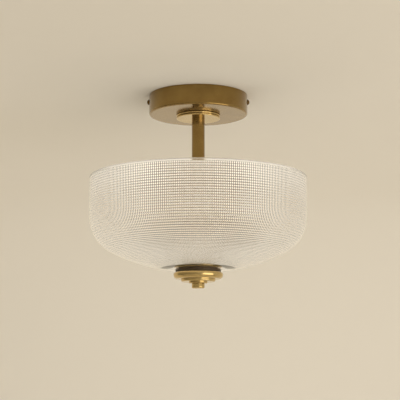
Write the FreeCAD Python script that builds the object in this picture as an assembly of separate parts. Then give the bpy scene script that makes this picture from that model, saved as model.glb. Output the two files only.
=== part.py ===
# Semi flush ceiling light: a brass rose and stem carry a pressed glass bowl by a threaded
# rod and a finial. Millimetres, +Z up, the origin in the ceiling plane on the light's axis.
import FreeCAD, Part
import math
import os

V = FreeCAD.Vector
os.makedirs("parts", exist_ok=True)

# Driving dimensions

# Ceiling rose
rose_radius = 68.5
rose_height = 27.5
rose_wall = 1.2
rose_edge_radius = 2.4
rose_screw_depth = 8.8

# Stem
collar_radius = 30.5
collar_height = 5.4
collar_groove_depth = 0.7
collar_groove_height = 0.9
stem_radius = 9.0
stem_wall = 1.5
stem_length = 101.0
stem_seat_depth = 1.5

# Threaded rod and its nuts
rod_radius = 5.0
rod_bore_radius = 3.75
rod_above_nut = 2.1
rod_below_glass = 17.0
rod_end_round = 0.4
rod_window_width = 5.6
rod_window_above = 6.0
rod_window_below = 3.0
nut_across_flats = 14.0
nut_height = 4.0
washer_radius = 9.5
washer_height = 1.2

# Lamp cluster
cluster_radius = 19.0
cluster_height = 30.0
cluster_wall = 2.0
cluster_edge_radius = 2.0
lamp_axis_depth = 15.5
boss_radius = 8.0
boss_reach = 2.5
cover_height = 2.0
cover_spigot_height = 2.0
nipple_length = 14.0
nipple_in_boss = 5.5
nipple_bore_radius = 3.4

# Lampholder and lamp, small screw cap size
holder_radius = 13.0
holder_length = 40.0
holder_wall = 1.6
holder_base = 3.0
holder_chamber = 9.0
holder_floor = 3.0
holder_mouth_depth = 9.0
holder_mouth_round = 0.5
holder_sleeve_wall = 0.6
socket_shell_inner = 7.15
socket_shell_wall = 0.5
socket_shell_length = 15.0
contact_rivet_radius = 1.4
contact_head_radius = 2.6
contact_head_height = 0.8
lamp_length = 78.0
lamp_globe_radius = 22.5
lamp_glass_wall = 0.9
lamp_cap_radius = 6.95
lamp_cap_wall = 0.35
lamp_cap_length = 17.0
lamp_collar_radius = 7.6
lamp_collar_length = 2.4
lamp_contact_radius = 2.3
lamp_contact_height = 1.2
lamp_insulator_height = 2.8
lamp_neck_length = 5.0
lamp_post_radius = 2.0
lamp_post_length = 22.0
lamp_post_foot_radius = 5.6
filament_count = 4
filament_radius = 0.75
filament_length = 26.0
filament_lower_circle = 3.1
filament_upper_circle = 7.5
filament_wire_radius = 0.35

# Glass bowl
bowl_radius = 150.0
bowl_height = 127.8
bowl_wall = 4.0
bowl_base = 5.6
bowl_rim_radius = 1.6
bowl_shoulder_height = 71.5
bowl_shoulder_radius = 52.0
bowl_shoulder_turn = 63.0
bowl_base_radius = 36.0
bowl_hole_radius = 6.6
gasket_radius = 27.0
lower_gasket_radius = 31.0
gasket_bore_radius = 5.8
upper_gasket_height = 1.5
lower_gasket_height = 3.4
stop_flange_radius = 31.0
stop_flange_height = 3.5
stop_flange_edge_radius = 1.2
sleeve_radius = 6.5
sleeve_length = 62.5

# Finial
finial_plate_radius = 34.0
finial_plate_height = 9.2
finial_step_radius = 23.6
finial_step_height = 3.6
finial_ring_radius = 12.6
finial_ring_height = 2.2
finial_knob_radius = 8.8
finial_knob_height = 6.8
finial_hub_radius = 7.0
finial_hub_recess = 0.6
finial_bore_spare = 1.5

# Roundings of the turned brass, as shares of the height of the bead that each one rounds
collar_bead_share = 0.98
plate_upper_share = 0.3
plate_lower_share = 0.6
step_share = 0.6
ring_share = 0.5
knob_share = 0.28
knob_neck_share = 0.09

# Ceiling bracket
bracket_width = 16.0
bracket_thickness = 1.6
bracket_ear_depth = 14.0
bracket_bend_radius = 1.2
bracket_centre_hole_radius = 6.5
slot_spacing = 56.0
slot_length = 18.0
slot_radius = 2.3
tab_width = 34.0
tab_reach = 47.0
tab_corner_radius = 4.8
earth_screw_place = 47.0

# Terminal block
block_length = 28.0
block_width = 16.0
block_height = 13.0
block_place = 34.0
block_edge_radius = 1.0
pole_spacing = 9.0
insert_radius = 2.7
insert_bore_radius = 2.0
insert_length = 12.0
clamp_screw_radius = 1.3
clamp_screw_spacing = 6.0
clamp_screw_recess = 1.6
fixing_screw_radius = 1.25

# Small screws
side_screw_radius = 2.0
side_screw_length = 9.5
side_screw_head_radius = 4.2
side_screw_head_height = 3.0
slot_cut_width = 0.9
slot_cut_depth = 0.9
small_head_radius = 3.2
small_head_height = 1.8
fixing_head_radius = 1.9
earth_washer_radius = 4.5
earth_washer_height = 0.6
earth_tag_radius = 8.0
earth_tag_height = 0.8
earth_tag_reach = 13.0
earth_tag_width = 4.0

# Wires
wire_radius = 0.9
wire_offset = 1.3
wire_bend_radius = 5.4
wire_stack = 0.95
earth_bend_radius = 4.3
brown_turn_right = -12.0
brown_turn_left = -15.0
blue_turn_right = -10.0
blue_turn_left = -6.5

# Clearances
thread_gap = 0.05
slip_gap = 0.1
free_gap = 0.3
contact_gap = 0.3
ear_gap = 1.5

# Levels worked down from the ceiling
rose_floor_top = -rose_height + rose_wall
rod_nut_bottom = rose_floor_top + washer_height + earth_tag_height
rod_nut_top = rod_nut_bottom + nut_height
rod_top = rod_nut_top + rod_above_nut
collar_bottom = -rose_height - collar_height
cluster_top = collar_bottom - stem_length
lamp_axis = cluster_top - lamp_axis_depth
cluster_bottom = cluster_top - cluster_height
cover_bottom = cluster_bottom - cover_height
cluster_washer_bottom = cover_bottom - washer_height
cluster_nut_bottom = cluster_washer_bottom - nut_height
flange_top = cluster_nut_bottom - sleeve_length
flange_bottom = flange_top - stop_flange_height
glass_floor = flange_bottom - upper_gasket_height
glass_bottom = glass_floor - bowl_base
glass_rim = glass_bottom + bowl_height
plate_top = glass_bottom - lower_gasket_height
plate_bottom = plate_top - finial_plate_height
step_bottom = plate_bottom - finial_step_height
ring_bottom = step_bottom - finial_ring_height
knob_bottom = ring_bottom - finial_knob_height
rod_bottom = glass_bottom - rod_below_glass

# Places worked out from the axis
rose_inner_radius = rose_radius - rose_wall
ear_outer = rose_inner_radius - ear_gap
ear_inner = ear_outer - bracket_thickness
rod_hole_radius = rod_radius + thread_gap
cluster_inner_radius = cluster_radius - cluster_wall
boss_face = cluster_radius + boss_reach
block_face = block_place - block_width / 2
pole_height = -bracket_thickness - block_height / 2


# Shape helpers

def rounded_wire(points, radii, closed=False):
    """Straight runs through the points, each corner an arc of its own radius."""
    count = len(points)
    edges = []
    stops = []
    for index, point in enumerate(points):
        radius = radii[index]
        if radius <= 0 or (not closed and index in (0, count - 1)):
            stops.append((point, None, point))
            continue
        before = (points[index - 1] - point).normalize()
        after = (points[(index + 1) % count] - point).normalize()
        half_turn = (math.pi - before.getAngle(after)) / 2
        reach = radius * math.tan(half_turn)
        inward = (before + after).normalize()
        middle = point + inward * (radius / math.cos(half_turn) - radius)
        stops.append((point + before * reach, middle, point + after * reach))
    for index, (start, middle, end) in enumerate(stops):
        if middle is not None:
            edges.append(Part.Arc(start, middle, end).toShape())
        following = stops[(index + 1) % count]
        last = index == count - 1
        if (closed or not last) and end.distanceToPoint(following[0]) > 1e-6:
            edges.append(Part.LineSegment(end, following[0]).toShape())
    return Part.Wire(edges)


def turned(outline):
    """A solid turned about Z from (radius, height) or (radius, height, corner radius)."""
    points = [V(corner[0], 0, corner[1]) for corner in outline]
    radii = [corner[2] if len(corner) > 2 else 0 for corner in outline]
    face = Part.Face(rounded_wire(points, radii, closed=True))
    return face.revolve(V(0, 0, 0), V(0, 0, 1), 360)


def disc(radius, bottom, top):
    return Part.makeCylinder(radius, top - bottom, V(0, 0, bottom))


def ring(inner, outer, bottom, top):
    return disc(outer, bottom, top).cut(disc(inner, bottom, top))


def block(x_size, y_size, bottom, top, x=0.0, y=0.0):
    corner = V(x - x_size / 2, y - y_size / 2, bottom)
    return Part.makeBox(x_size, y_size, top - bottom, corner)


def hexagon(across_flats, bottom, top):
    corner_radius = across_flats / math.sqrt(3)
    angles = [math.radians(60 * step) for step in range(7)]
    corners = [V(corner_radius * math.cos(a), corner_radius * math.sin(a), bottom) for a in angles]
    return Part.Face(Part.makePolygon(corners)).extrude(V(0, 0, top - bottom))


def nut(bottom):
    """A hexagon nut on the rod with both faces chamfered."""
    top = bottom + nut_height
    corner = nut_across_flats / math.sqrt(3)
    flat = nut_across_flats / 2
    bevel = (corner - flat) / 2
    crown = turned([
        (rod_hole_radius, bottom), (flat, bottom), (corner, bottom + bevel),
        (corner, top - bevel), (flat, top), (rod_hole_radius, top)])
    return hexagon(nut_across_flats, bottom, top).common(crown)


def rod_washer(bottom):
    return ring(rod_hole_radius + slip_gap, washer_radius, bottom, bottom + washer_height)


def lying_x(shape, side):
    """Lays a shape built up +Z from zero along the lamp axis, out to one side."""
    placed = shape.copy()
    placed.rotate(V(0, 0, 0), V(0, 1, 0), 90 * side)
    placed.translate(V(side * boss_face, 0, lamp_axis))
    return placed


def tube_along(points, bend_radius):
    """A wire's solid: a round section carried along runs and tangent arcs."""
    radii = [bend_radius] * len(points)
    spine = rounded_wire(points, radii)
    spacings = [(after - before).Length for before, after in zip(points, points[1:])]
    start = points[0]
    heading = (points[1] - points[0]).normalize()
    section = Part.Wire(Part.Circle(start, heading, wire_radius).toShape())
    solid = spine.makePipeShell([section], True, True)
    expected = math.pi * wire_radius ** 2 * spine.Length
    print("wire length %.1f, bends %.1f, shortest run %.1f, volume ratio %.4f" % (
        spine.Length, bend_radius, min(spacings), solid.Volume / expected))
    return solid


def screw_slot(shape, centre, direction, across):
    """Cuts a driver slot into a screw head whose top is at centre, facing direction."""
    side = direction.cross(across)
    cut = Part.makeBox(4 * small_head_radius, slot_cut_width, 2 * slot_cut_depth)
    cut.translate(V(-2 * small_head_radius, -slot_cut_width / 2, -slot_cut_depth))
    turn = FreeCAD.Rotation(across, side, direction, "XYZ")
    cut.Placement = FreeCAD.Placement(centre, turn).multiply(cut.Placement)
    return shape.cut(cut)


def save(node, *solids):
    """One file for each node; alike pieces share a node as separate solids."""
    shape = solids[0] if len(solids) == 1 else Part.makeCompound(list(solids))
    if not shape.isValid():
        raise ValueError("bad shape in " + node)
    print("%-24s %2d solids %10.1f mm3" % (node, len(shape.Solids), shape.Volume))
    shape.exportStep("parts/" + node + ".step")


# Ceiling bracket

def bracket_strap():
    outer_bend = bracket_bend_radius + bracket_thickness
    low = -bracket_ear_depth
    outline = [
        (-ear_outer, low, 0), (-ear_outer, 0, outer_bend),
        (ear_outer, 0, outer_bend), (ear_outer, low, 0),
        (ear_inner, low, 0), (ear_inner, -bracket_thickness, bracket_bend_radius),
        (-ear_inner, -bracket_thickness, bracket_bend_radius), (-ear_inner, low, 0)]
    points = [V(x, -bracket_width / 2, z) for x, z, radius in outline]
    radii = [radius for x, z, radius in outline]
    return Part.Face(rounded_wire(points, radii, closed=True)).extrude(V(0, bracket_width, 0))


def ceiling_bracket():
    reach = tab_reach - bracket_width / 2
    tab = block(tab_width, reach, -bracket_thickness, 0, y=bracket_width / 2 + reach / 2)
    ends = [edge for edge in tab.Edges if edge.BoundBox.YMin > tab_reach - slip_gap]
    corners = [edge for edge in ends if edge.BoundBox.XLength < slip_gap]
    shape = bracket_strap().fuse(tab.makeFillet(tab_corner_radius, corners)).removeSplitter()
    shape = shape.cut(disc(bracket_centre_hole_radius, -bracket_thickness, 0))
    straight = slot_length - 2 * slot_radius
    for side in (-1, 1):
        centre = side * slot_spacing / 2
        slot = block(straight, 2 * slot_radius, -bracket_thickness, 0, x=centre)
        for end in (-1, 1):
            round_end = disc(slot_radius, -bracket_thickness, 0)
            round_end.translate(V(centre + end * straight / 2, 0, 0))
            slot = slot.fuse(round_end)
        shape = shape.cut(slot)
        hole = Part.makeCylinder(
            side_screw_radius + thread_gap, 2 * bracket_thickness + ear_gap,
            V(side * (ear_inner - bracket_thickness / 2), 0, -rose_screw_depth), V(side, 0, 0))
        shape = shape.cut(hole)
    earth_hole = disc(fixing_screw_radius + thread_gap, -bracket_thickness, 0)
    earth_hole.translate(V(earth_screw_place, 0, 0))
    shape = shape.cut(earth_hole)
    for side in (-1, 1):
        fixing_hole = disc(fixing_screw_radius + thread_gap, -bracket_thickness, 0)
        fixing_hole.translate(V(side * pole_spacing / 2, block_place, 0))
        shape = shape.cut(fixing_hole)
    return shape


# Ceiling rose and its side screws

def ceiling_rose():
    cup = turned([
        (rod_hole_radius + slip_gap, -rose_height), (rose_radius, -rose_height, rose_edge_radius),
        (rose_radius, 0), (rose_inner_radius, 0),
        (rose_inner_radius, rose_floor_top, rose_edge_radius - rose_wall),
        (rod_hole_radius + slip_gap, rose_floor_top)])
    for side in (-1, 1):
        start = V(side * (rose_inner_radius - rose_wall), 0, -rose_screw_depth)
        hole = Part.makeCylinder(side_screw_radius + free_gap, 3 * rose_wall, start, V(side, 0, 0))
        cup = cup.cut(hole)
    return cup


def rose_screw(side):
    """A dome-headed machine screw, built up +Z and laid through the rose's wall."""
    dome = side_screw_head_height
    head_edge = side_screw_head_radius
    dome_radius = (head_edge ** 2 + dome ** 2) / (2 * dome)
    ball = Part.makeSphere(dome_radius, V(0, 0, dome - dome_radius))
    head = disc(head_edge, 0, dome).common(ball)
    shape = head.fuse(disc(side_screw_radius, -side_screw_length, 0)).removeSplitter()
    shape = screw_slot(shape, V(0, 0, dome), V(0, 0, 1), V(1, 0, 0))
    shape.rotate(V(0, 0, 0), V(0, 1, 0), 90 * side)
    shape.translate(V(side * (rose_radius + slip_gap), 0, -rose_screw_depth))
    return shape


# Stem

def stem_collar():
    groove_middle = collar_bottom + collar_height / 2
    groove = collar_groove_height / 2
    neck = collar_radius - collar_groove_depth
    bead = (collar_height / 2 - groove) / 2 * collar_bead_share
    seat = stem_radius + slip_gap
    return turned([
        (rod_hole_radius + slip_gap, -rose_height), (collar_radius, -rose_height, bead),
        (collar_radius, groove_middle + groove, bead), (neck, groove_middle + groove),
        (neck, groove_middle - groove), (collar_radius, groove_middle - groove, bead),
        (collar_radius, collar_bottom, bead), (seat, collar_bottom),
        (seat, collar_bottom + stem_seat_depth),
        (rod_hole_radius + slip_gap, collar_bottom + stem_seat_depth)])


def stem_tube():
    bottom = cluster_top - stem_seat_depth
    return ring(stem_radius - stem_wall, stem_radius, bottom, collar_bottom + stem_seat_depth)


def centre_rod():
    """Hollow threaded rod with a window to each side for the lamps' wires."""
    shape = turned([
        (rod_bore_radius, rod_bottom), (rod_radius, rod_bottom, rod_end_round),
        (rod_radius, rod_top, rod_end_round), (rod_bore_radius, rod_top)])
    for side in (-1, 1):
        bottom = lamp_axis - rod_window_below
        top = lamp_axis + rod_window_above
        window = block(2 * rod_radius, rod_window_width, bottom, top, x=side * rod_radius)
        shape = shape.cut(window)
    return shape


def rod_earth_tag():
    """Flat ring tag under the top nut, with its barrel reaching towards the terminals."""
    bottom = rose_floor_top + washer_height
    top = bottom + earth_tag_height
    arm = block(earth_tag_width, earth_tag_reach, bottom, top, y=earth_tag_reach / 2)
    start = V(0, earth_tag_reach - earth_tag_width, top + wire_radius)
    along = V(0, 1, 0)
    barrel = Part.makeCylinder(earth_tag_width / 2, earth_tag_width, start, along)
    bore = Part.makeCylinder(wire_radius + slip_gap, earth_tag_width, start, along)
    low = block(4 * earth_tag_width, 4 * earth_tag_reach, bottom - earth_tag_width, bottom)
    rod_hole = disc(rod_hole_radius, bottom, top)
    tag = disc(earth_tag_radius, bottom, top).fuse(arm).fuse(barrel)
    return tag.cut(bore).cut(low).cut(rod_hole).removeSplitter()


# Lamp cluster

def cluster_body():
    """Hollow cup, open below, with a flat boss to each side for a nipple."""
    inner_top = cluster_top - cluster_wall - stem_seat_depth
    seat = stem_radius + slip_gap
    rod_hole = rod_hole_radius + slip_gap
    cup = turned([
        (rod_hole, inner_top), (cluster_inner_radius, inner_top, cluster_edge_radius / 2),
        (cluster_inner_radius, cluster_bottom), (cluster_radius, cluster_bottom),
        (cluster_radius, cluster_top, cluster_edge_radius), (seat, cluster_top),
        (seat, cluster_top - stem_seat_depth), (rod_hole, cluster_top - stem_seat_depth)])
    hollow = disc(cluster_inner_radius, cluster_bottom, inner_top)
    for side in (-1, 1):
        boss = disc(boss_radius, -(boss_face - cluster_inner_radius + cluster_wall), 0)
        hole = disc(rod_hole_radius, -boss_face + rod_radius + wire_radius, 0)
        solid_boss = lying_x(boss, side).cut(hollow)
        cup = cup.fuse(solid_boss).removeSplitter().cut(lying_x(hole, side))
    return cup


def cluster_cover():
    return turned([
        (rod_hole_radius + slip_gap, cover_bottom),
        (cluster_radius, cover_bottom, cluster_edge_radius / 2),
        (cluster_radius, cluster_bottom), (cluster_inner_radius - slip_gap, cluster_bottom),
        (cluster_inner_radius - slip_gap, cluster_bottom + cover_spigot_height),
        (rod_hole_radius + slip_gap, cluster_bottom + cover_spigot_height)])


def holder_nipple():
    return ring(nipple_bore_radius, rod_radius, -nipple_in_boss, nipple_length - nipple_in_boss)


# Lampholder, built up +Z from the boss face and laid to each side

chamber_top = holder_base + holder_chamber
floor_top = chamber_top + holder_floor
holder_inner = holder_radius - holder_wall
shell_outer = socket_shell_inner + socket_shell_wall


def lampholder():
    """Insulating body: base, wiring chamber, floor and the bore that holds the shell."""
    mouth = holder_length - holder_mouth_depth
    shell_bore = shell_outer + slip_gap
    contact_hole = contact_rivet_radius + slip_gap
    return turned([
        (rod_hole_radius, 0), (holder_radius, 0, holder_wall),
        (holder_radius, holder_length, holder_mouth_round), (holder_inner, holder_length),
        (holder_inner, mouth), (shell_bore, mouth), (shell_bore, floor_top),
        (contact_hole, floor_top), (contact_hole, chamber_top), (holder_inner, chamber_top),
        (holder_inner, holder_base), (rod_hole_radius, holder_base)])


def holder_sleeve():
    """Brass cover tube over the insulating body, closed to the boss by its own base."""
    inner = holder_radius + slip_gap
    return ring(inner, inner + holder_sleeve_wall, 0, holder_length + holder_sleeve_wall)


def holder_shell():
    return turned([
        (contact_head_radius + 2 * slip_gap, floor_top), (shell_outer, floor_top),
        (shell_outer, floor_top + socket_shell_length),
        (socket_shell_inner, floor_top + socket_shell_length),
        (socket_shell_inner, floor_top + socket_shell_wall),
        (contact_head_radius + 2 * slip_gap, floor_top + socket_shell_wall)])


def holder_contact():
    tail = chamber_top - contact_head_height
    return turned([
        (0, tail), (contact_head_radius, tail), (contact_head_radius, chamber_top),
        (contact_rivet_radius, chamber_top),
        (contact_rivet_radius, floor_top), (contact_head_radius, floor_top),
        (contact_head_radius, floor_top + contact_head_height),
        (0, floor_top + contact_head_height)])


# Lamp, built up +Z in the same frame as its holder

lamp_start = floor_top + contact_head_height + contact_gap
insulator_start = lamp_start + lamp_contact_height
cap_start = insulator_start + lamp_insulator_height
cap_end = cap_start + lamp_cap_length
collar_end = cap_end + lamp_collar_length
lamp_end = lamp_start + lamp_length


def lamp_contact():
    return turned([
        (0, lamp_start), (lamp_contact_radius, lamp_start, lamp_contact_height / 2),
        (lamp_contact_radius, insulator_start), (0, insulator_start)])


def lamp_insulator():
    return turned([
        (0, insulator_start), (lamp_contact_radius + lamp_cap_wall, insulator_start),
        (lamp_cap_radius - lamp_cap_wall, cap_start), (0, cap_start)])


def lamp_cap():
    """Thin metal cap with a wider collar where the glass goes in."""
    wall = lamp_cap_wall
    return turned([
        (lamp_cap_radius - wall, cap_start), (lamp_cap_radius, cap_start), (lamp_cap_radius, cap_end),
        (lamp_collar_radius, cap_end), (lamp_collar_radius, collar_end),
        (lamp_collar_radius - wall, collar_end), (lamp_collar_radius - wall, cap_end - wall),
        (lamp_cap_radius - wall, cap_end - wall)])


def globe_outline(globe_radius, neck_radius, bottom, centre):
    """Half section of a ball on a short neck, joined by a tangent flare."""
    flare_start = bottom + lamp_neck_length
    rise = centre - flare_start
    flare = (rise ** 2 + neck_radius ** 2 - globe_radius ** 2) / (2 * (globe_radius - neck_radius))
    flare_centre = V(neck_radius + flare, 0, flare_start)
    ball_centre = V(0, 0, centre)
    meeting = ball_centre + (flare_centre - ball_centre).normalize() * globe_radius
    inward = (V(neck_radius, 0, flare_start) - flare_centre).normalize()
    outward = (meeting - flare_centre).normalize()
    flare_middle = flare_centre + (inward + outward).normalize() * flare
    start_angle = math.atan2(meeting.z - centre, meeting.x)
    middle_angle = (start_angle + math.pi / 2) / 2
    ball_middle = ball_centre + V(math.cos(middle_angle), 0, math.sin(middle_angle)) * globe_radius
    top = V(0, 0, centre + globe_radius)
    return [
        Part.LineSegment(V(neck_radius, 0, bottom), V(neck_radius, 0, flare_start)).toShape(),
        Part.Arc(V(neck_radius, 0, flare_start), flare_middle, meeting).toShape(),
        Part.Arc(meeting, ball_middle, top).toShape()], top


def lamp_globe():
    """Clear glass envelope, its neck set inside the cap's collar."""
    centre = lamp_end - lamp_globe_radius
    neck = lamp_collar_radius - lamp_cap_wall - slip_gap
    inner_neck = neck - lamp_glass_wall
    inner_radius = lamp_globe_radius - lamp_glass_wall
    outside, outer_top = globe_outline(lamp_globe_radius, neck, cap_end, centre)
    inside, inner_top = globe_outline(inner_radius, inner_neck, cap_end, centre)
    ends = [
        Part.LineSegment(outer_top, inner_top).toShape(),
        Part.LineSegment(V(neck, 0, cap_end), V(inner_neck, 0, cap_end)).toShape()]
    face = Part.Face(Part.Wire(Part.__sortEdges__(outside + inside + ends)))
    return face.revolve(V(0, 0, 0), V(0, 0, 1), 360)


def lamp_post():
    """Glass post on a flared foot that closes the neck and carries the filaments."""
    foot = cap_end + lamp_glass_wall
    return turned([
        (0, foot), (lamp_post_foot_radius, foot), (lamp_post_foot_radius, foot + lamp_glass_wall),
        (lamp_post_radius, foot + lamp_post_foot_radius), (lamp_post_radius, foot + lamp_post_length),
        (0, foot + lamp_post_length)])


def lamp_filaments():
    """Slanted filament strips between two wire rings round the post."""
    low = cap_end + lamp_glass_wall + lamp_post_length - 4 * filament_wire_radius
    high = low + filament_length
    lower = Part.makeTorus(filament_lower_circle, filament_wire_radius, V(0, 0, low))
    upper = Part.makeTorus(filament_upper_circle, filament_wire_radius, V(0, 0, high))
    shape = lower.fuse(upper)
    for index in range(filament_count):
        angle = 2 * math.pi * (index + 0.5) / filament_count
        out = V(math.cos(angle), math.sin(angle), 0)
        start = out * filament_lower_circle + V(0, 0, low)
        end = out * filament_upper_circle + V(0, 0, high)
        strip = Part.makeCylinder(filament_radius, (end - start).Length, start, end - start)
        arm_length = filament_lower_circle - lamp_post_radius - thread_gap
        arm = Part.makeCylinder(filament_wire_radius, arm_length, start - out * arm_length, out)
        shape = shape.fuse(strip).fuse(arm)
    return shape


# Glass bowl and what clamps it

def bowl_side(offset, foot_level):
    """Points of the bowl's side, offset inwards: wall foot, shoulder, hand-over, bottom, foot."""
    shoulder = glass_bottom + bowl_shoulder_height
    shoulder_centre = V(bowl_radius - bowl_shoulder_radius, 0, shoulder)
    turn = math.radians(bowl_shoulder_turn)
    outward = V(math.cos(turn), 0, -math.sin(turn))
    hand_over = shoulder_centre + outward * bowl_shoulder_radius
    to_foot = V(bowl_base_radius, 0, glass_bottom) - hand_over
    bottom_radius = -to_foot.dot(to_foot) / (2 * to_foot.dot(outward))
    bottom_centre = hand_over - outward * bottom_radius
    shoulder_offset = bowl_shoulder_radius - offset
    bottom_offset = bottom_radius - offset
    drop = foot_level - bottom_centre.z
    foot = V(bottom_centre.x + math.sqrt(bottom_offset ** 2 - drop ** 2), 0, foot_level)
    shoulder_middle = V(math.cos(turn / 2), 0, -math.sin(turn / 2)) * shoulder_offset
    bottom_middle = outward + (foot - bottom_centre).normalize()
    return [
        shoulder_centre + V(shoulder_offset, 0, 0), shoulder_centre + shoulder_middle,
        shoulder_centre + outward * shoulder_offset,
        bottom_centre + bottom_middle.normalize() * bottom_offset, foot]


def glass_bowl():
    """Straight wall, round shoulder and a shallow bottom down to a thick flat base."""
    outer = bowl_side(0, glass_bottom)
    inner = bowl_side(bowl_wall, glass_floor)
    inside = bowl_radius - bowl_wall
    rim = bowl_rim_radius
    diagonal = rim * (1 - math.sqrt(0.5))
    outer_top = V(bowl_radius, 0, glass_rim - rim)
    outer_rim = V(bowl_radius - rim, 0, glass_rim)
    inner_rim = V(inside + rim, 0, glass_rim)
    inner_top = V(inside, 0, glass_rim - rim)
    hole_bottom = V(bowl_hole_radius, 0, glass_bottom)
    hole_top = V(bowl_hole_radius, 0, glass_floor)
    edges = [
        Part.LineSegment(hole_bottom, outer[4]),
        Part.Arc(outer[4], outer[3], outer[2]),
        Part.Arc(outer[2], outer[1], outer[0]),
        Part.LineSegment(outer[0], outer_top),
        Part.Arc(outer_top, V(bowl_radius - diagonal, 0, glass_rim - diagonal), outer_rim),
        Part.LineSegment(outer_rim, inner_rim),
        Part.Arc(inner_rim, V(inside + diagonal, 0, glass_rim - diagonal), inner_top),
        Part.LineSegment(inner_top, inner[0]),
        Part.Arc(inner[0], inner[1], inner[2]),
        Part.Arc(inner[2], inner[3], inner[4]),
        Part.LineSegment(inner[4], hole_top),
        Part.LineSegment(hole_top, hole_bottom)]
    face = Part.Face(Part.Wire([edge.toShape() for edge in edges]))
    return face.revolve(V(0, 0, 0), V(0, 0, 1), 360)


def rod_sleeve():
    return ring(rod_hole_radius + slip_gap, sleeve_radius, flange_top, cluster_nut_bottom)


def stop_flange():
    return turned([
        (rod_hole_radius, flange_bottom), (stop_flange_radius, flange_bottom),
        (stop_flange_radius, flange_top, stop_flange_edge_radius), (rod_hole_radius, flange_top)])


# Finial

def finial_plate():
    """Stepped turned disc: a deep rounded bead above a smaller bead."""
    bore = finial_hub_radius + free_gap
    return turned([
        (bore, plate_top), (finial_plate_radius, plate_top, finial_plate_height * plate_upper_share),
        (finial_plate_radius, plate_bottom, finial_plate_height * plate_lower_share),
        (finial_step_radius, plate_bottom),
        (finial_step_radius, step_bottom, finial_step_height * step_share), (bore, step_bottom)])


def finial_ring():
    bore = finial_hub_radius + free_gap
    return turned([
        (bore, step_bottom), (finial_ring_radius, step_bottom),
        (finial_ring_radius, ring_bottom, finial_ring_height * ring_share), (bore, ring_bottom)])


def finial_knob():
    """End button with a long threaded hub that runs up through the discs."""
    bore = rod_radius + thread_gap
    bore_end = rod_bottom - finial_bore_spare
    neck_edge = finial_knob_height * knob_neck_share
    end_edge = finial_knob_height * knob_share
    return turned([
        (bore, plate_top - finial_hub_recess), (finial_hub_radius, plate_top - finial_hub_recess),
        (finial_hub_radius, ring_bottom), (finial_knob_radius, ring_bottom, neck_edge),
        (finial_knob_radius, knob_bottom, end_edge), (0, knob_bottom),
        (0, bore_end), (bore, bore_end)])


# Terminal block

def terminal_block():
    top = -bracket_thickness
    bottom = top - block_height
    body = block(block_length, block_width, bottom, top, y=block_place)
    upright = [edge for edge in body.Edges if edge.Vertexes[0].Z != edge.Vertexes[-1].Z]
    body = body.makeFillet(block_edge_radius, upright)
    for pole in (-1, 0, 1):
        x = pole * pole_spacing
        start = V(x, block_face, pole_height)
        body = body.cut(Part.makeCylinder(insert_radius + slip_gap, block_width, start, V(0, 1, 0)))
        for end in (-1, 1):
            well = disc(clamp_screw_radius + 3 * slip_gap, bottom, pole_height)
            well.translate(V(x, block_place + end * clamp_screw_spacing / 2, 0))
            body = body.cut(well)
    for side in (-1, 1):
        hole = disc(fixing_screw_radius + slip_gap, bottom, top)
        hole.translate(V(side * pole_spacing / 2, block_place, 0))
        body = body.cut(hole)
    return body


def terminal_insert(pole):
    start = V(pole * pole_spacing, block_place - insert_length / 2, pole_height)
    along = V(0, 1, 0)
    insert = Part.makeCylinder(insert_radius, insert_length, start, along)
    insert = insert.cut(Part.makeCylinder(insert_bore_radius, insert_length, start, along))
    for end in (-1, 1):
        hole = disc(clamp_screw_radius + thread_gap, pole_height - 2 * insert_radius, pole_height)
        hole.translate(V(pole * pole_spacing, block_place + end * clamp_screw_spacing / 2, 0))
        insert = insert.cut(hole)
    return insert


def clamp_screw(pole, end):
    bottom = -bracket_thickness - block_height + clamp_screw_recess
    centre = V(pole * pole_spacing, block_place + end * clamp_screw_spacing / 2, bottom)
    screw = disc(clamp_screw_radius, bottom, pole_height - insert_bore_radius)
    screw.translate(V(centre.x, centre.y, 0))
    return screw_slot(screw, centre, V(0, 0, -1), V(1, 0, 0))


def fixing_screw(side):
    """A small screw up through the block into the bracket, between two poles."""
    head_top = -bracket_thickness - block_height
    screw = disc(fixing_head_radius, head_top - small_head_height, head_top)
    screw = screw.fuse(disc(fixing_screw_radius, head_top, 0)).removeSplitter()
    screw = screw_slot(screw, V(0, 0, head_top - small_head_height), V(0, 0, -1), V(1, 0, 0))
    screw.translate(V(side * pole_spacing / 2, block_place, 0))
    return screw


def earth_screw():
    head_top = -bracket_thickness - earth_washer_height
    screw = disc(small_head_radius, head_top - small_head_height, head_top)
    screw = screw.fuse(disc(fixing_screw_radius, head_top, 0)).removeSplitter()
    screw = screw_slot(screw, V(0, 0, head_top - small_head_height), V(0, 0, -1), V(0, 1, 0))
    screw.translate(V(earth_screw_place, 0, 0))
    return screw


def earth_washer():
    washer = ring(
        fixing_screw_radius + slip_gap, earth_washer_radius,
        -bracket_thickness - earth_washer_height, -bracket_thickness)
    washer.translate(V(earth_screw_place, 0, 0))
    return washer


# Wires, held all the way from the terminals to the lampholders

def lamp_wire(side, row, turn_level, pole, stack):
    """From a terminal across to the rod, down its bore, out of its window to one lamp.

    It turns down into the bore at turn_level, row is its row there, front or back, and stack
    is its place in the terminal, above or below the other wire of its pole.
    """
    x = side * wire_offset
    y = row * wire_offset
    mouth = V(pole * pole_spacing, block_place - insert_length / 2, pole_height + stack * wire_stack)
    front = V(mouth.x, block_face - 2 * wire_bend_radius, mouth.z)
    holder_end = boss_face + chamber_top - contact_head_height - free_gap
    top = V(x, y, turn_level)
    corner = V(x, y, lamp_axis)
    end = V(side * holder_end, y, lamp_axis)
    return tube_along([mouth, front, top, corner, end], wire_bend_radius)


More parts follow.
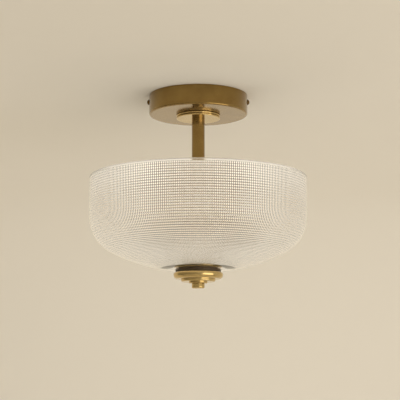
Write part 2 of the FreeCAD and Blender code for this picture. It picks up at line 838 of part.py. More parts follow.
def earth_wire():
    """From the tag under the top nut round and up to the middle terminal."""
    low = rose_floor_top + washer_height + earth_tag_height + wire_radius
    turn_y = block_face - wire_bend_radius - wire_radius
    start = V(0, earth_tag_reach - earth_tag_width, low)
    mouth = V(0, block_place - insert_length / 2, pole_height)
    corners = [V(0, turn_y, low), V(0, turn_y, pole_height)]
    return tube_along([start] + corners + [mouth], earth_bend_radius)


def main():
    save("ceiling_bracket", ceiling_bracket())
    save("ceiling_rose", ceiling_rose())
    save("rose_screw_left", rose_screw(-1))
    save("rose_screw_right", rose_screw(1))
    save("rod_top_washer", rod_washer(rose_floor_top))
    save("rod_earth_tag", rod_earth_tag())
    save("rod_top_nut", nut(rod_nut_bottom))
    save("stem_collar", stem_collar())
    save("stem_tube", stem_tube())
    save("centre_rod", centre_rod())
    save("cluster_body", cluster_body())
    save("cluster_cover", cluster_cover())
    save("cluster_washer", rod_washer(cluster_washer_bottom))
    save("cluster_nut", nut(cluster_nut_bottom))
    save("rod_sleeve", rod_sleeve())
    save("stop_flange", stop_flange())
    save("upper_gasket", ring(gasket_bore_radius, gasket_radius, glass_floor, flange_bottom))
    save("glass_bowl", glass_bowl())
    save("lower_gasket", ring(gasket_bore_radius, lower_gasket_radius, plate_top, glass_bottom))
    save("finial_plate", finial_plate())
    save("finial_ring", finial_ring())
    save("finial_knob", finial_knob())
    for name, side in (("left", -1), ("right", 1)):
        save("holder_nipple_" + name, lying_x(holder_nipple(), side))
        save("lampholder_" + name, lying_x(lampholder(), side))
        save("holder_sleeve_" + name, lying_x(holder_sleeve(), side))
        save("holder_shell_" + name, lying_x(holder_shell(), side))
        save("holder_contact_" + name, lying_x(holder_contact(), side))
        save("lamp_contact_" + name, lying_x(lamp_contact(), side))
        save("lamp_insulator_" + name, lying_x(lamp_insulator(), side))
        save("lamp_cap_" + name, lying_x(lamp_cap(), side))
        save("lamp_globe_" + name, lying_x(lamp_globe(), side))
        save("lamp_post_" + name, lying_x(lamp_post(), side))
        save("lamp_filaments_" + name, lying_x(lamp_filaments(), side))
    poles = (-1, 0, 1)
    ends = (-1, 1)
    save("terminal_block", terminal_block())
    save("terminal_inserts", *[terminal_insert(pole) for pole in poles])
    save("terminal_screws", *[clamp_screw(pole, end) for pole in poles for end in ends])
    save("block_fixing_screws", *[fixing_screw(side) for side in ends])
    save("earth_screw", earth_screw())
    save("earth_washer", earth_washer())
    brown_right = lamp_wire(1, 1, brown_turn_right, -1, 1)
    brown_left = lamp_wire(-1, 1, brown_turn_left, -1, -1)
    blue_right = lamp_wire(1, -1, blue_turn_right, 1, -1)
    blue_left = lamp_wire(-1, -1, blue_turn_left, 1, 1)
    save("brown_wires", brown_right, brown_left)
    save("blue_wires", blue_right, blue_left)
    save("earth_wire", earth_wire())
    print("rim %.1f, glass bottom %.1f, lowest point %.1f" % (glass_rim, glass_bottom, knob_bottom))


main()
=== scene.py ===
# %% [markdown]
# A semi flush ceiling light, dressed over its CAD frame. The frame brings every piece at its
# real size and place, in metres, so this script only makes what CAD leaves plain: the pattern
# of the pressed glass, the lamps' screw threads, and the finish of each surface.

# %% Load the frame
import math
import bmesh
import bpy
import numpy as np
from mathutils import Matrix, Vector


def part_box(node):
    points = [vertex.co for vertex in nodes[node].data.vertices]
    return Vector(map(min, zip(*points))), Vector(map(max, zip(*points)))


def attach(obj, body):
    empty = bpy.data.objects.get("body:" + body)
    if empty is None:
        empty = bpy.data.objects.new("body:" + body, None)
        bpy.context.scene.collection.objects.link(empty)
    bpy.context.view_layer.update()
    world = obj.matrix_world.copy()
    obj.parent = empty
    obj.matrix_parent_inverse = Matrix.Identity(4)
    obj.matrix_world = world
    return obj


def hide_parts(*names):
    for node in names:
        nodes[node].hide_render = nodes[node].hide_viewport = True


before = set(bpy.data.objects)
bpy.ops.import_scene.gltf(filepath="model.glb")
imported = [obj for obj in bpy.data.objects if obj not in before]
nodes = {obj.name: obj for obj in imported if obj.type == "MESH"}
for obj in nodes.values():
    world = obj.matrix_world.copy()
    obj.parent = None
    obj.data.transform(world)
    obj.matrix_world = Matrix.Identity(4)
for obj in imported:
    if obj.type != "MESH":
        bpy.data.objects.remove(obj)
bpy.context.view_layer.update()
print("pieces from CAD:", len(nodes))

# %% [markdown]
# Sizes below are in millimetres, as on a drawing, and one factor turns them to Blender's
# metres. A colour is written as the hex value that a paint chart would give, and Blender wants
# it linear, so one function turns it. Shader nodes are added by one function, which takes a
# socket by its name or its number: the Mix node's two colours are 6 and 7, and its result is 2.

# %% Units, colours and shader nodes
MM = 0.001


def linear(hex_colour):
    """A paint chart's hex colour as Blender's linear red, green, blue and alpha."""
    parts = [int(hex_colour[place:place + 2], 16) / 255 for place in (1, 3, 5)]
    return [c / 12.92 if c <= 0.04045 else ((c + 0.055) / 1.055) ** 2.4 for c in parts] + [1.0]


def add(tree, kind, inputs=None, **settings):
    """Adds one shader node; each input is a value or another node's output to link."""
    node = tree.nodes.new("ShaderNode" + kind)
    for name, value in settings.items():
        setattr(node, name, value)
    for name, value in (inputs or {}).items():
        if isinstance(value, bpy.types.NodeSocket):
            tree.links.new(value, node.inputs[name])
        else:
            node.inputs[name].default_value = value
    return node


def empty_material(name):
    """A material with no nodes yet."""
    material = bpy.data.materials.new(name)
    material.use_nodes = True
    material.node_tree.nodes.clear()
    return material


def per_metre(size_mm):
    """The scale of a pattern in object coordinates whose features are that many mm wide."""
    return 1 / (size_mm * MM)


def wave_scale(pitch_mm):
    """The same for a wave texture, which runs through 20 radians per unit of its scale."""
    return per_metre(pitch_mm) * math.tau / 20


print("a middle grey is %.3f in linear light" % linear("#808080")[0])

# %% [markdown]
# The camera stands where the photograph's stood: 1.64 m in front of the light and a little
# below it, looking up by nine degrees, through a long lens that keeps the bowl's sides nearly
# parallel. A long lens far away is how a product is usually taken, because it doesn't swell
# what is near.

# %% Camera
camera_place = (2.42, -1636.1, -409.6)
camera_target = (2.42, 0.0, -147.2)
lens = 108.0
sensor_width = 36.0

camera_data = bpy.data.cameras.new("camera")
camera_data.lens = lens
camera_data.sensor_width = sensor_width
camera_data.clip_start = 0.05
camera_data.clip_end = 60.0
camera = bpy.data.objects.new("camera", camera_data)
bpy.context.scene.collection.objects.link(camera)
camera.location = [value * MM for value in camera_place]
rise = camera_target[2] - camera_place[2]
reach = camera_target[1] - camera_place[1]
camera.rotation_euler = (math.pi / 2 + math.atan2(rise, reach), 0, 0)
bpy.context.scene.camera = camera
bpy.context.scene.view_settings.view_transform = "Standard"
print("camera looks up by %.2f degrees" % math.degrees(math.atan2(rise, reach)))

# %% [markdown]
# The light hangs from a ceiling, so the studio has one, just above the rose, where the rose's
# soft shadow falls. The ceiling runs back in a wide curve into a wall and the wall into the
# pale floor, as a roll of paper does, so no seam shows behind the glass. Real sets are open to
# the sides and so is this one. Seen from outside, the sheet is see-through, because the light
# is also looked at from above and behind.

# %% Studio sheet
ceiling_gap = 0.3
wall_place = 1500.0
floor_level = -2300.0
cove_radius = 700.0
sheet_front = -3000.0
sheet_half_width = 4000.0
cove_steps = 24


def sheet_outline():
    """Side view of the sheet from the ceiling's front edge round to the floor's."""
    middle = wall_place - cove_radius
    points = [(sheet_front, ceiling_gap)]
    for step in range(cove_steps + 1):
        turn = math.pi / 2 * step / cove_steps
        points.append((middle + cove_radius * math.sin(turn),
                       ceiling_gap - cove_radius * (1 - math.cos(turn))))
    for step in range(cove_steps + 1):
        turn = math.pi / 2 * step / cove_steps
        points.append((middle + cove_radius * math.cos(turn),
                       floor_level + cove_radius * (1 - math.sin(turn))))
    return points + [(sheet_front, floor_level)]


def mesh_object(name, vertices, faces):
    """A mesh from millimetre points, smooth shaded, in the scene."""
    mesh = bpy.data.meshes.new(name)
    mesh.from_pydata([tuple(value * MM for value in point) for point in vertices], [], faces)
    mesh.polygons.foreach_set("use_smooth", [True] * len(mesh.polygons))
    piece = bpy.data.objects.new(name, mesh)
    bpy.context.scene.collection.objects.link(piece)
    return piece


outline = sheet_outline()
corners = [(side * sheet_half_width, y, z) for y, z in outline for side in (-1, 1)]
strips = [(2 * row, 2 * row + 2, 2 * row + 3, 2 * row + 1) for row in range(len(outline) - 1)]
sheet = mesh_object("studio_sheet", corners, strips)
print("studio sheet points:", len(outline))

# %% [markdown]
# The sheet is matt paper in a warm cream, with a faint uneven tone. Geometry's Backfacing
# tells the side that faces away from the light, and there the surface lets everything through.
# Rays out of glass find the sheet brighter than it is lit, and so do rays off metal at the back
# wall, a little. This way clear glass shows a pale studio and not the fixture's own shadow. It
# is a simple way: real glass gathers light from all round, which takes far more rays. Above the
# rose the ceiling is open, as a real one is where the cable comes down, and light falls in on
# the bracket and the wires. The rose hides this opening from below.

# %% Paper of the sheet
paper_colour = "#EDE9E1"
paper_cloud = 900.0
paper_unevenness = 0.015
through_glass = "#FAF0DF"
off_metal = "#E2D5BC"
back_wall_start = 300.0
back_wall_whole = 1200.0
opening_inset = 4.0
opening_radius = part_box("ceiling_rose")[1].y - opening_inset * MM
one_wall = 1.5           # a wall has two surfaces, so a ray that has passed it counts 2


def through_wall(tree, ray):
    """1 for rays out of glass, and for what metal behind a glass wall mirrors."""
    behind = add(tree, "Math", {0: ray.outputs["Transmission Depth"], 1: one_wall},
                 operation="GREATER_THAN")
    mirrored = add(tree, "Math", {0: behind.outputs["Value"], 1: ray.outputs["Is Glossy Ray"]},
                   operation="MULTIPLY")
    return add(tree, "Math", {0: ray.outputs["Is Transmission Ray"], 1: mirrored.outputs["Value"]},
               operation="MAXIMUM").outputs["Value"]


def paper(name):
    """Matt paper that is seen from one side only."""
    material = empty_material(name)
    tree = material.node_tree
    place = add(tree, "TexCoord").outputs["Object"]
    cloud = add(tree, "TexNoise", {"Vector": place, "Scale": per_metre(paper_cloud), "Detail": 2.0})
    tone = add(tree, "MapRange", {"Value": cloud.outputs["Fac"], "To Min": 1 - paper_unevenness,
                                  "To Max": 1 + paper_unevenness})
    colour = add(tree, "VectorMath", {0: linear(paper_colour)[:3], "Scale": tone.outputs["Result"]},
                 operation="SCALE")
    matt = add(tree, "BsdfDiffuse", {"Color": colour.outputs["Vector"]})
    ray = add(tree, "LightPath")
    deep = add(tree, "SeparateXYZ", {"Vector": place})
    wall = add(tree, "MapRange", {"Value": deep.outputs["Y"], "From Min": back_wall_start * MM,
                                  "From Max": back_wall_whole * MM})
    off_wall = add(tree, "Math", {0: wall.outputs["Result"], 1: ray.outputs["Is Glossy Ray"]},
                   operation="MULTIPLY")
    mirrored = add(tree, "Emission", {"Color": linear(off_metal)})
    seen = add(tree, "Emission", {"Color": linear(through_glass)})
    shine = add(tree, "MixShader", {"Fac": off_wall.outputs["Value"], 1: matt.outputs["BSDF"],
                                    2: mirrored.outputs["Emission"]})
    pale = add(tree, "MixShader", {"Fac": through_wall(tree, ray), 1: shine.outputs["Shader"],
                                   2: seen.outputs["Emission"]})
    clear = add(tree, "BsdfTransparent")
    side = add(tree, "NewGeometry")
    reach = add(tree, "VectorMath", {0: place}, operation="LENGTH")
    opening = add(tree, "Math", {0: reach.outputs["Value"], 1: opening_radius}, operation="LESS_THAN")
    see_through = add(tree, "Math", {0: side.outputs["Backfacing"], 1: opening.outputs["Value"]},
                      operation="MAXIMUM")
    surface = add(tree, "MixShader", {"Fac": see_through.outputs["Value"], 1: pale.outputs["Shader"],
                                      2: clear.outputs["BSDF"]})
    add(tree, "OutputMaterial", {"Surface": surface.outputs["Shader"]})
    return material


cream_paper = paper("cream_paper")
sheet.data.materials.append(cream_paper)
print(cream_paper.name, "on", sheet.name, "open above the rose to %.1f mm" % (opening_radius / MM))

# %% [markdown]
# Soft light comes from all round, from the world. It is a little brighter on the right, where
# a window would be, and metal mirrors a darker left. One broad, dim lamp stands low on the right
# in front, where the finial's highlights show it. A small one stands low behind, aimed up at the
# sheet, and it also reaches the bowl's underside. All this is warm and adds up to about 0.7 of
# white on the sheet, so pale paper renders as the cream of the photograph. Rays out of glass
# find the same pale studio here as on the sheet, and neither lamp, because a lamp's image in
# hundreds of small lenses would sparkle.

# %% World and lamps
world_left = "#C1BBAE"
mirror_left = "#989184"
world_right = "#D6D0C3"
lamp_colour = "#FFF8EE"

world = bpy.data.worlds.new("studio_air")
bpy.context.scene.world = world
world.use_nodes = True
air = world.node_tree
air.nodes.clear()
direction = add(air, "TexCoord")
axes = add(air, "SeparateXYZ", {"Vector": direction.outputs["Generated"]})
across = add(air, "MapRange", {"Value": axes.outputs["X"], "From Min": -1.0, "From Max": 1.0},
             interpolation_type="SMOOTHSTEP")
ray = add(air, "LightPath")
left = add(air, "Mix", {0: ray.outputs["Is Glossy Ray"], 6: linear(world_left),
                        7: linear(mirror_left)}, data_type="RGBA")
tint = add(air, "Mix", {0: across.outputs["Result"], 6: left.outputs[2], 7: linear(world_right)},
           data_type="RGBA")
studio = add(air, "Mix", {0: through_wall(air, ray), 6: tint.outputs[2], 7: linear(through_glass)},
             data_type="RGBA")
glow = add(air, "Background", {"Color": studio.outputs[2]})
add(air, "OutputWorld", {"Surface": glow.outputs["Background"]})


def soft_lamp(name, place, target, width, height, watts):
    """A rectangular lamp at one place that looks at another, all in millimetres."""
    data = bpy.data.lights.new(name, "AREA")
    data.shape = "RECTANGLE"
    data.size = width * MM
    data.size_y = height * MM
    data.energy = watts
    data.color = linear(lamp_colour)[:3]
    lamp = bpy.data.objects.new(name, data)
    bpy.context.scene.collection.objects.link(lamp)
    lamp.location = [value * MM for value in place]
    away = lamp.location - type(lamp.location)([value * MM for value in target])
    lamp.rotation_euler = away.to_track_quat("Z", "Y").to_euler()
    return lamp


window_lamp = soft_lamp("window_lamp", place=(1700, -1500, -1000), target=(0, 0, -150),
                        width=2300, height=1800, watts=22)
wall_lamp = soft_lamp("wall_lamp", place=(0, 500, -1900), target=(0, 1500, -400),
                      width=1600, height=500, watts=5.2)
wall_lamp.visible_glossy = False
for lamp in (window_lamp, wall_lamp):
    lamp.visible_transmission = False
    print(lamp.name, "%.1f W" % lamp.data.energy)

# %% [markdown]
# The rose, the stem and the lamp cluster are brass that was darkened in a bath, rubbed back
# and lacquered. The metal gives a deep olive brown where the studio is dark and a warm tan where
# it mirrors pale paper at a low angle. The lacquer over it is clear, a little glossier than the
# metal, and it adds the soft highlight along the edges. The spinning tool's rings run round
# the axis; they are about a tenth of a millimetre apart on a real cup, and are drawn coarser.

# %% Satin antique brass
satin_brass_light = "#977C45"
satin_brass_deep = "#886C38"
satin_brass_roughness = 0.2
lacquer_roughness = 0.12
cloud_size = 22.0
spun_pitch = 0.8         # about 0.1 on a real cup, drawn coarse enough to show
turned_pitch = 0.5       # about 0.05 on a real turned piece, drawn coarse enough to show
turning_depth = 0.004
brass_spread = 0.04


def mottle(tree, place, size, light, deep):
    """A slow drift between two close tones, as a hand-rubbed finish has."""
    cloud = add(tree, "TexNoise", {"Vector": place, "Scale": per_metre(size), "Detail": 4.0,
                                   "Roughness": 0.55})
    share = add(tree, "MapRange", {"Value": cloud.outputs["Fac"], "From Min": 0.3, "From Max": 0.7})
    return add(tree, "Mix", {0: share.outputs["Result"], 6: linear(deep), 7: linear(light)},
               data_type="RGBA").outputs[2], cloud.outputs["Fac"]


def rough_range(tree, source, middle, spread):
    """Roughness that wanders about its middle value."""
    return add(tree, "MapRange", {"Value": source, "To Min": middle - spread,
                                  "To Max": middle + spread}).outputs["Result"]


def turned_rings(tree, place, pitch, depth):
    """Bump of fine rings round the Z axis, left by a tool on a lathe."""
    rings = add(tree, "TexWave", {"Vector": place, "Scale": wave_scale(pitch),
                                  "Distortion": 0.6, "Detail": 2.0, "Detail Scale": 3.0},
                wave_type="RINGS", rings_direction="Z")
    return add(tree, "Bump", {"Height": rings.outputs["Fac"], "Strength": 0.25,
                              "Distance": depth * MM}).outputs["Normal"]


def brass(name, light, deep, roughness, pitch=turned_pitch, coat=0.0):
    """Turned or spun metal in two close tones, lacquered where it has a coat."""
    material = empty_material(name)
    tree = material.node_tree
    place = add(tree, "TexCoord").outputs["Object"]
    colour, cloud = mottle(tree, place, cloud_size, light, deep)
    surface = add(tree, "BsdfPrincipled", {
        "Base Color": colour, "Metallic": 1.0,
        "Roughness": rough_range(tree, cloud, roughness, brass_spread),
        "Normal": turned_rings(tree, place, pitch, turning_depth),
        "Coat Weight": coat, "Coat Roughness": lacquer_roughness})
    add(tree, "OutputMaterial", {"Surface": surface.outputs["BSDF"]})
    return material


def dress(material, *names):
    """Gives CAD nodes their finish, in every slot of their meshes."""
    for name in names:
        mesh = nodes[name].data
        mesh.materials.clear()
        mesh.materials.append(material)
    print(material.name, "on", len(names), "pieces")


satin_brass = brass("satin_brass", satin_brass_light, satin_brass_deep, satin_brass_roughness,
                    pitch=spun_pitch, coat=0.35)
dress(satin_brass, "ceiling_rose", "cluster_body", "cluster_cover", "holder_sleeve_left",
      "holder_sleeve_right", "rod_sleeve", "stem_tube", "stop_flange")

# %% [markdown]
# The collar and the finial's discs were turned from bar, polished and lacquered. A polished
# surface mirrors more sharply, so its roughness is lower, and with less of the bath's brown
# left on it the metal is paler.

# %% Polished brass
polished_brass = brass("polished_brass", "#CDB37B", "#BFA46A", roughness=0.16, coat=0.2)
dress(polished_brass, "cluster_nut", "finial_knob", "finial_plate", "finial_ring", "stem_collar")

# %% [markdown]
# The rose's two screws stayed longer in the bath, so they are darker and duller. The contacts,
# shells and terminals carry current, so they are left bare, which gives the bright yellow of
# plain brass. The earth tag is dipped in tin, which stays silvery and takes solder.

# %% Dark, bare and tinned brass
stamped_pitch = 0.4      # draw marks are finer on real pieces, drawn coarse enough to show
dark_brass = brass("dark_brass", "#6A5026", "#574019", roughness=0.34, coat=0.2)
dress(dark_brass, "rose_screw_left", "rose_screw_right")
bare_brass = brass("bare_brass", "#D1B06A", "#C09C55", roughness=0.24, pitch=stamped_pitch)
dress(bare_brass, "earth_screw", "earth_washer", "holder_contact_left", "holder_contact_right",
      "holder_shell_left", "holder_shell_right", "lamp_contact_left", "lamp_contact_right",
      "terminal_inserts")
tinned_brass = brass("tinned_brass", "#D2CFC7", "#BDBAB2", roughness=0.3, pitch=stamped_pitch)
dress(tinned_brass, "rod_earth_tag")

# %% [markdown]
# The bracket, the rod, the nuts and the small screws are steel, zinc plated and passivated.
# Zinc grows in a fine crystal, so the surface is a pale blue grey with a soft, grainy gloss.

# %% Zinc plated steel
zinc_light = "#C6CACC"
zinc_deep = "#A9AEB1"
zinc_cloud = 6.0
zinc_roughness = 0.36
zinc_spread = 0.06
zinc_grain = 0.7         # real crystals are a few hundredths across, drawn coarse enough to show
zinc_grain_depth = 0.01


def zinc_steel():
    """Pale plated steel with a grainy gloss."""
    material = empty_material("zinc_steel")
    tree = material.node_tree
    place = add(tree, "TexCoord").outputs["Object"]
    colour, cloud = mottle(tree, place, zinc_cloud, zinc_light, zinc_deep)
    grain = add(tree, "TexNoise", {"Vector": place, "Scale": per_metre(zinc_grain), "Detail": 3.0})
    bump = add(tree, "Bump", {"Height": grain.outputs["Fac"], "Strength": 0.3,
                              "Distance": zinc_grain_depth * MM})
    surface = add(tree, "BsdfPrincipled", {
        "Base Color": colour, "Metallic": 1.0,
        "Roughness": rough_range(tree, cloud, zinc_roughness, zinc_spread),
        "Normal": bump.outputs["Normal"]})
    add(tree, "OutputMaterial", {"Surface": surface.outputs["BSDF"]})
    return material


dress(zinc_steel(), "block_fixing_screws", "ceiling_bracket", "centre_rod", "cluster_washer",
      "holder_nipple_left", "holder_nipple_right", "rod_top_nut", "rod_top_washer", "terminal_screws")

# %% [markdown]
# Moulded pieces: the lampholders are a cream thermoplastic that takes the heat of a lamp, the
# terminal block is white polyamide, and the lamps' insulators are black glass. The gaskets are
# rubber. The frame calls it black, but in the photograph the ring under the bowl is a dark
# brown, so it is painted brown here. All are dielectrics with an IOR near 1.5, so what tells
# them apart is colour, gloss and a faint skin from the mould.

# %% Plastics and rubber
skin_size = 0.35         # a mould's eroded texture is finer, drawn coarse enough to show
moulded_spread = 0.05


def moulded(name, light, deep, roughness, cloud, depth, ior):
    """A dielectric in two close tones, with a skin that is some hundredths deep."""
    material = empty_material(name)
    tree = material.node_tree
    place = add(tree, "TexCoord").outputs["Object"]
    colour, drift = mottle(tree, place, cloud, light, deep)
    skin = add(tree, "TexNoise", {"Vector": place, "Scale": per_metre(skin_size), "Detail": 2.0})
    bump = add(tree, "Bump", {"Height": skin.outputs["Fac"], "Strength": 0.4, "Distance": depth * MM})
    surface = add(tree, "BsdfPrincipled", {
        "Base Color": colour, "Roughness": rough_range(tree, drift, roughness, moulded_spread),
        "IOR": ior, "Normal": bump.outputs["Normal"]})
    add(tree, "OutputMaterial", {"Surface": surface.outputs["BSDF"]})
    return material


cream_thermoplastic = moulded("cream_thermoplastic", "#EDE6D3", "#E4DBC4", roughness=0.42,
                              cloud=9.0, depth=0.02, ior=1.55)
dress(cream_thermoplastic, "lampholder_left", "lampholder_right")
white_polyamide = moulded("white_polyamide", "#EFEFEB", "#E6E6E0", roughness=0.48,
                          cloud=7.0, depth=0.02, ior=1.53)
dress(white_polyamide, "terminal_block")
gasket_rubber = moulded("black_rubber", "#4D3B1C", "#402F14", roughness=0.62,
                        cloud=5.0, depth=0.03, ior=1.52)
dress(gasket_rubber, "lower_gasket", "upper_gasket")
black_glass = moulded("black_glass", "#1D1D20", "#151518", roughness=0.12,
                      cloud=4.0, depth=0.002, ior=1.52)
dress(black_glass, "lamp_insulator_left", "lamp_insulator_right")

# %% [markdown]
# The wires are copper in a PVC sleeve, which is extruded and so has a smooth, even gloss. The
# colours follow the trade: brown for live, blue for neutral, and green with yellow for earth.
# The earth wire has no single colour, so a wave texture cuts it into bands. On a real wire the
# stripes run along it in a slow twist; here they cross it at a slant, because a texture in
# object coordinates doesn't follow the wire round its bends.

# %% Wires
pvc_roughness = 0.35
pvc_ior = 1.53
pvc_cloud = 5.0
pvc_depth = 0.005
stripe_width = 1.8

for name, light, deep in (("brown", "#6B3F26", "#5E351F"), ("blue", "#2E6FB4", "#2763A4")):
    dress(moulded(name + "_pvc", light, deep, pvc_roughness, pvc_cloud, pvc_depth, pvc_ior),
          name + "_wires")


def striped_pvc():
    """Green and yellow bands of equal width."""
    material = empty_material("green_yellow_pvc")
    tree = material.node_tree
    place = add(tree, "TexCoord").outputs["Object"]
    bands = add(tree, "TexWave", {"Vector": place, "Scale": wave_scale(stripe_width)},
                bands_direction="DIAGONAL")
    green = add(tree, "Math", {0: bands.outputs["Fac"], 1: 0.5}, operation="GREATER_THAN")
    colour = add(tree, "Mix", {0: green.outputs["Value"], 6: linear("#D9C323"), 7: linear("#2F8A3B")},
                 data_type="RGBA")
    surface = add(tree, "BsdfPrincipled", {"Base Color": colour.outputs[2],
                                           "Roughness": pvc_roughness, "IOR": pvc_ior})
    add(tree, "OutputMaterial", {"Surface": surface.outputs["BSDF"]})
    return material


dress(striped_pvc(), "earth_wire")

# %% [markdown]
# The lamps' filaments are sapphire strips under a yellow phosphor, which glows warm white when
# lit and is a flat mustard when not. The screw caps are thin brass, nickel plated.

# %% Phosphor and nickel
filament_phosphor = moulded("filament_phosphor", "#E8B64A", "#DDA636", roughness=0.7,
                            cloud=3.0, depth=0.02, ior=1.5)
dress(filament_phosphor, "lamp_filaments_left", "lamp_filaments_right")
nickel_cap = brass("nickel_cap", "#CFCBC2", "#BDB9AF", roughness=0.2)
print(nickel_cap.name, "waits for the threaded caps")

# %% [markdown]
# Two glasses: the bowl is pressed soda-lime glass, and the lamps are blown. Both are clear
# with an IOR of 1.52. Daylight passes glass almost unweakened, but a path tracer can't find
# its way from a surface through glass to a lamp, and would leave a black shadow. So for
# shadow rays alone the glass is a faint, even tint. Two things are painted, where numbers on
# the mesh's vertices say: a faint line of painted shade in each flute's groove, where the
# photograph shows a dark line that the render's grain would drown, and a rim that is part
# white, as ground glass is, which also stands as a painted highlight along the rim's top.
# Behind the near wall the far wall's thousands of lenses would show as grain only. So a ray
# that has passed one wall finds the rest of the bowl thin and clear.

# %% Clear glass
glass_ior = 1.52
pressed_roughness = 0.08
# painted shade: the glass in each groove is tinted this darker tone
groove_shade_tone = "#CCC5B8"
# share of the rim that turns white, as ground glass is and as a painted highlight along its top
rim_ground_and_highlight_share = 0.3
far_wall = "#F8F6F2"


def groove_shade_and_rim_highlight(tree):
    """Inputs of the bowl's glass: painted shade along each groove, and the ground rim, part white as a
    painted highlight.
    """
    groove = add(tree, "Attribute", attribute_name="groove")
    # painted shade: the glass darkens along the bottom of each groove
    groove_shade = add(tree, "MapRange", {"Value": groove.outputs["Fac"], "From Min": 0.5})
    tone = add(tree, "Mix", {0: groove_shade.outputs["Result"], 6: linear("#FFFFFF"), 7: linear(groove_shade_tone)},
               data_type="RGBA")
    # painted highlight: the rim loses part of its clearness and shows white, as ground glass does
    rim = add(tree, "Attribute", attribute_name="rim")
    clear = add(tree, "MapRange", {"Value": rim.outputs["Fac"], "To Min": 1.0,
                                   "To Max": 1.0 - rim_ground_and_highlight_share})
    return {"Base Color": tone.outputs[2], "Roughness": pressed_roughness,
            "Transmission Weight": clear.outputs["Result"]}


def clear_glass(name, tint, shadow, ripple_size, ripple_depth, painted_light=None, behind=None):
    """Glass with a slow ripple, with painted shade and highlight where given, and with a plain tint
    behind another wall.
    """
    material = empty_material(name)
    tree = material.node_tree
    place = add(tree, "TexCoord").outputs["Object"]
    ripple = add(tree, "TexNoise", {"Vector": place, "Scale": per_metre(ripple_size), "Detail": 1.0})
    bump = add(tree, "Bump", {"Height": ripple.outputs["Fac"], "Strength": 0.3,
                              "Distance": ripple_depth * MM})
    inputs = {"Base Color": linear(tint), "Roughness": 0.0, "IOR": glass_ior,
              "Transmission Weight": 1.0, "Normal": bump.outputs["Normal"]}
    inputs.update(painted_light(tree) if painted_light else {})
    glass = add(tree, "BsdfPrincipled", inputs)
    faint = add(tree, "BsdfTransparent", {"Color": linear(shadow)})
    ray = add(tree, "LightPath")
    surface = add(tree, "MixShader", {"Fac": ray.outputs["Is Shadow Ray"],
                                      1: glass.outputs["BSDF"], 2: faint.outputs["BSDF"]})
    if behind:
        passed = add(tree, "Math", {0: ray.outputs["Transmission Depth"], 1: one_wall},
                     operation="GREATER_THAN")
        thin = add(tree, "BsdfTransparent", {"Color": linear(behind)})
        surface = add(tree, "MixShader", {"Fac": passed.outputs["Value"], 1: surface.outputs["Shader"],
                                          2: thin.outputs["BSDF"]})
    add(tree, "OutputMaterial", {"Surface": surface.outputs["Shader"]})
    return material


clear_lamp_glass = clear_glass("clear_lamp_glass", "#FBFBFA", "#F6F6F4", ripple_size=9.0,
                               ripple_depth=0.02)
dress(clear_lamp_glass, "lamp_globe_left", "lamp_globe_right", "lamp_post_left", "lamp_post_right")
prismatic_glass = clear_glass("prismatic_glass", "#FFFFFF", "#EFEFEB", ripple_size=25.0,
                              ripple_depth=0.05, painted_light=groove_shade_and_rim_highlight, behind=far_wall)

# %% [markdown]
# The bowl is pressed between a smooth mould and a plunger cut with upright flutes and level
# rings. So the outside is smooth, and inside stand rows of tiny glass cushions, each of which
# bends light like a lens and shows the whole studio once. A bump map would only tilt the shading
# and leave the section plain, so the cushions are real geometry: the half section is turned
# about the axis, and each inner point is pushed out into the glass where a groove runs. The
# frame gives the bowl's box, and the section repeats the other sizes of the CAD bowl.

# %% The bowl's half section
bowl_low, bowl_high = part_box("glass_bowl")
bowl_radius = min(bowl_high.x, bowl_high.y) / MM
foot_level = bowl_low.z / MM
rim_level = bowl_high.z / MM
wall = 4.0
base = 5.6
rim_round = 1.6
shoulder_height = 71.5
shoulder_radius = 52.0
shoulder_turn = math.radians(63.0)
foot_radius = 36.0
hole_radius = 6.6

shoulder_centre = (bowl_radius - shoulder_radius, foot_level + shoulder_height)
out_r, out_z = math.cos(shoulder_turn), -math.sin(shoulder_turn)
hand_over = (shoulder_centre[0] + shoulder_radius * out_r, shoulder_centre[1] + shoulder_radius * out_z)
to_foot = (foot_radius - hand_over[0], foot_level - hand_over[1])
bottom_radius = -(to_foot[0] ** 2 + to_foot[1] ** 2) / (2 * (to_foot[0] * out_r + to_foot[1] * out_z))
bottom_centre = (hand_over[0] - bottom_radius * out_r, hand_over[1] - bottom_radius * out_z)
print("bottom arc radius %.1f mm" % bottom_radius)


def side_point(path, offset):
    """Radius, level and outward normal at a path length down the side, offset inwards."""
    straight = rim_level - shoulder_centre[1]
    if path <= straight:
        return bowl_radius - offset, rim_level - path, 1.0, 0.0
    turn = (path - straight) / (shoulder_radius - offset)
    centre, radius = shoulder_centre, shoulder_radius - offset
    if turn > shoulder_turn:
        beyond = path - straight - shoulder_turn * (shoulder_radius - offset)
        radius = bottom_radius - offset
        turn = shoulder_turn + beyond / radius
        centre = bottom_centre
    normal = (math.cos(turn), -math.sin(turn))
    return centre[0] + radius * normal[0], centre[1] + radius * normal[1], normal[0], normal[1]


def side_length(offset, end_level):
    """Path length from the rim down to where the bottom reaches the end level."""
    straight = rim_level - shoulder_centre[1]
    radius = bottom_radius - offset
    end_turn = math.asin((bottom_centre[1] - end_level) / radius)
    if end_turn < shoulder_turn:
        end_turn = math.pi - end_turn
    return straight + shoulder_turn * (shoulder_radius - offset) + (end_turn - shoulder_turn) * radius


outer_length = side_length(0.0, foot_level)
inner_length = side_length(wall, foot_level + base)
print("side, outside and inside: %.1f and %.1f mm" % (outer_length, inner_length))

# %% [markdown]
# Counting the photograph's lines gives 336 flutes round the bowl, 2.8 mm apart, and rings
# 3.25 mm apart. Flutes run together towards the foot, so their depth shrinks with the radius
# and the flanks keep their lean. The photograph doesn't tell how deep the pattern is. Of the
# leans that were tried, these gave the most even grid.

